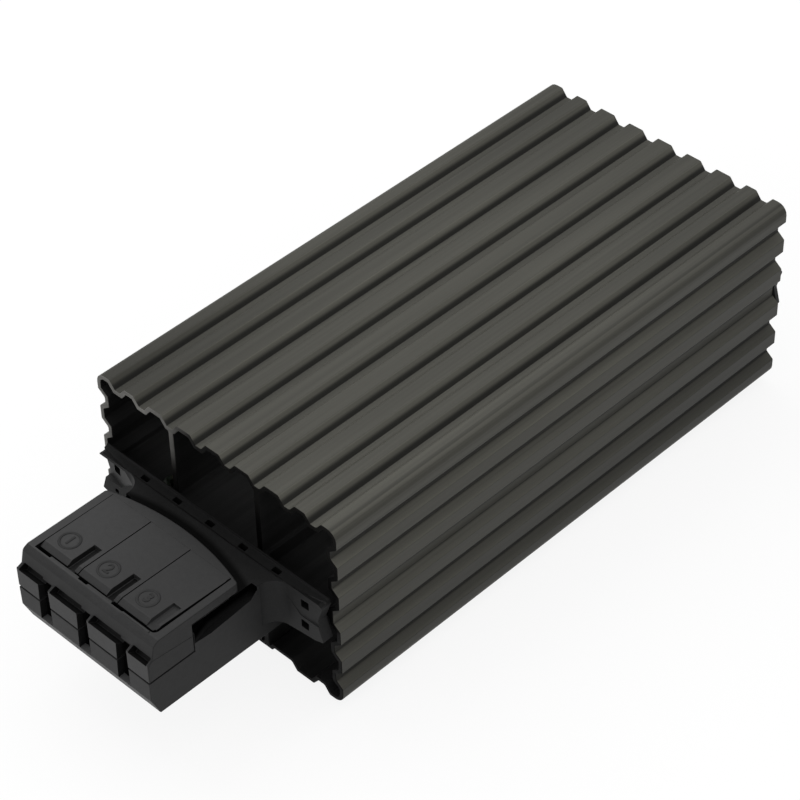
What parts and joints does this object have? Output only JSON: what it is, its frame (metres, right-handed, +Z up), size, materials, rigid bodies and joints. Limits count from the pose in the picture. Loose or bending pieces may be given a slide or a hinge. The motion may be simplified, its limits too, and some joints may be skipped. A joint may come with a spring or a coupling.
{
  "type": "enclosure heater",
  "caption": "Corrugated aluminium channel heater for a control cabinet, with a plastic terminal block, press levers, an end cap and a rail clip.",
  "frame": {"origin": "middle of the footprint, on the surface that the rail clip's lips stand on", "axes": "+Z up through the corrugated top, +Y along the profile from the terminal block to the rear cap, +X across the profile"},
  "size_m": [0.07, 0.1784, 0.0512],
  "materials": {
    "black_aluminium": "satin black anodised",
    "black_plastic": "fine matt moulded",
    "spring_steel": "bright rolled strip",
    "tinned_brass": "tinned",
    "sheet_aluminium": "mill finish",
    "heater_ceramic": "matt fired",
    "insulating_film": "amber film",
    "frame_plastic": "matt moulded",
    "lead_brown": "insulation sleeve",
    "lead_blue": "insulation sleeve",
    "lead_green": "insulation sleeve",
    "zinc_steel": "zinc plated"
  },
  "bodies": {
    "housing": {"heatsink_profile": "black_aluminium", "terminal_base": "black_plastic", "terminal_cover": "black_plastic", "contact_bar_left": "tinned_brass", "contact_bar_middle": "tinned_brass", "contact_bar_right": "tinned_brass", "clamp_spring_left": "spring_steel", "clamp_spring_middle": "spring_steel", "clamp_spring_right": "spring_steel", "lead_live": "lead_brown", "lead_neutral": "lead_blue", "lead_earth": "lead_green", "earth_tag": "tinned_brass", "earth_screw": "zinc_steel", "ptc_element_1": "heater_ceramic", "ptc_element_2": "heater_ceramic", "ptc_element_3": "heater_ceramic", "ptc_element_4": "heater_ceramic", "ptc_frame": "frame_plastic", "electrode_lower": "sheet_aluminium", "electrode_upper": "sheet_aluminium", "insulation_lower": "insulating_film", "insulation_upper": "insulating_film", "rear_cap": "black_plastic", "rail_clip": "spring_steel", "clip_rivet_front": "zinc_steel", "clip_rivet_rear": "zinc_steel"},
    "lever_left": {"press_lever_left": "black_plastic"},
    "lever_middle": {"press_lever_middle": "black_plastic"},
    "lever_right": {"press_lever_right": "black_plastic"}
  },
  "joints": [
    {"name": "press_left", "type": "hinge", "parent": "housing", "child": "lever_left", "pos_m": [-0.0117, -0.06475, 0.03555], "axis": [1, 0, 0], "range_deg": [0, 7], "stiffness_Nm_per_rad": 0.05, "springref_deg": -2.86},
    {"name": "press_middle", "type": "hinge", "parent": "housing", "child": "lever_middle", "pos_m": [0, -0.06475, 0.03555], "axis": [1, 0, 0], "range_deg": [0, 7], "stiffness_Nm_per_rad": 0.05, "springref_deg": -2.86},
    {"name": "press_right", "type": "hinge", "parent": "housing", "child": "lever_right", "pos_m": [0.0117, -0.06475, 0.03555], "axis": [1, 0, 0], "range_deg": [0, 7], "stiffness_Nm_per_rad": 0.05, "springref_deg": -2.86}
  ]
}
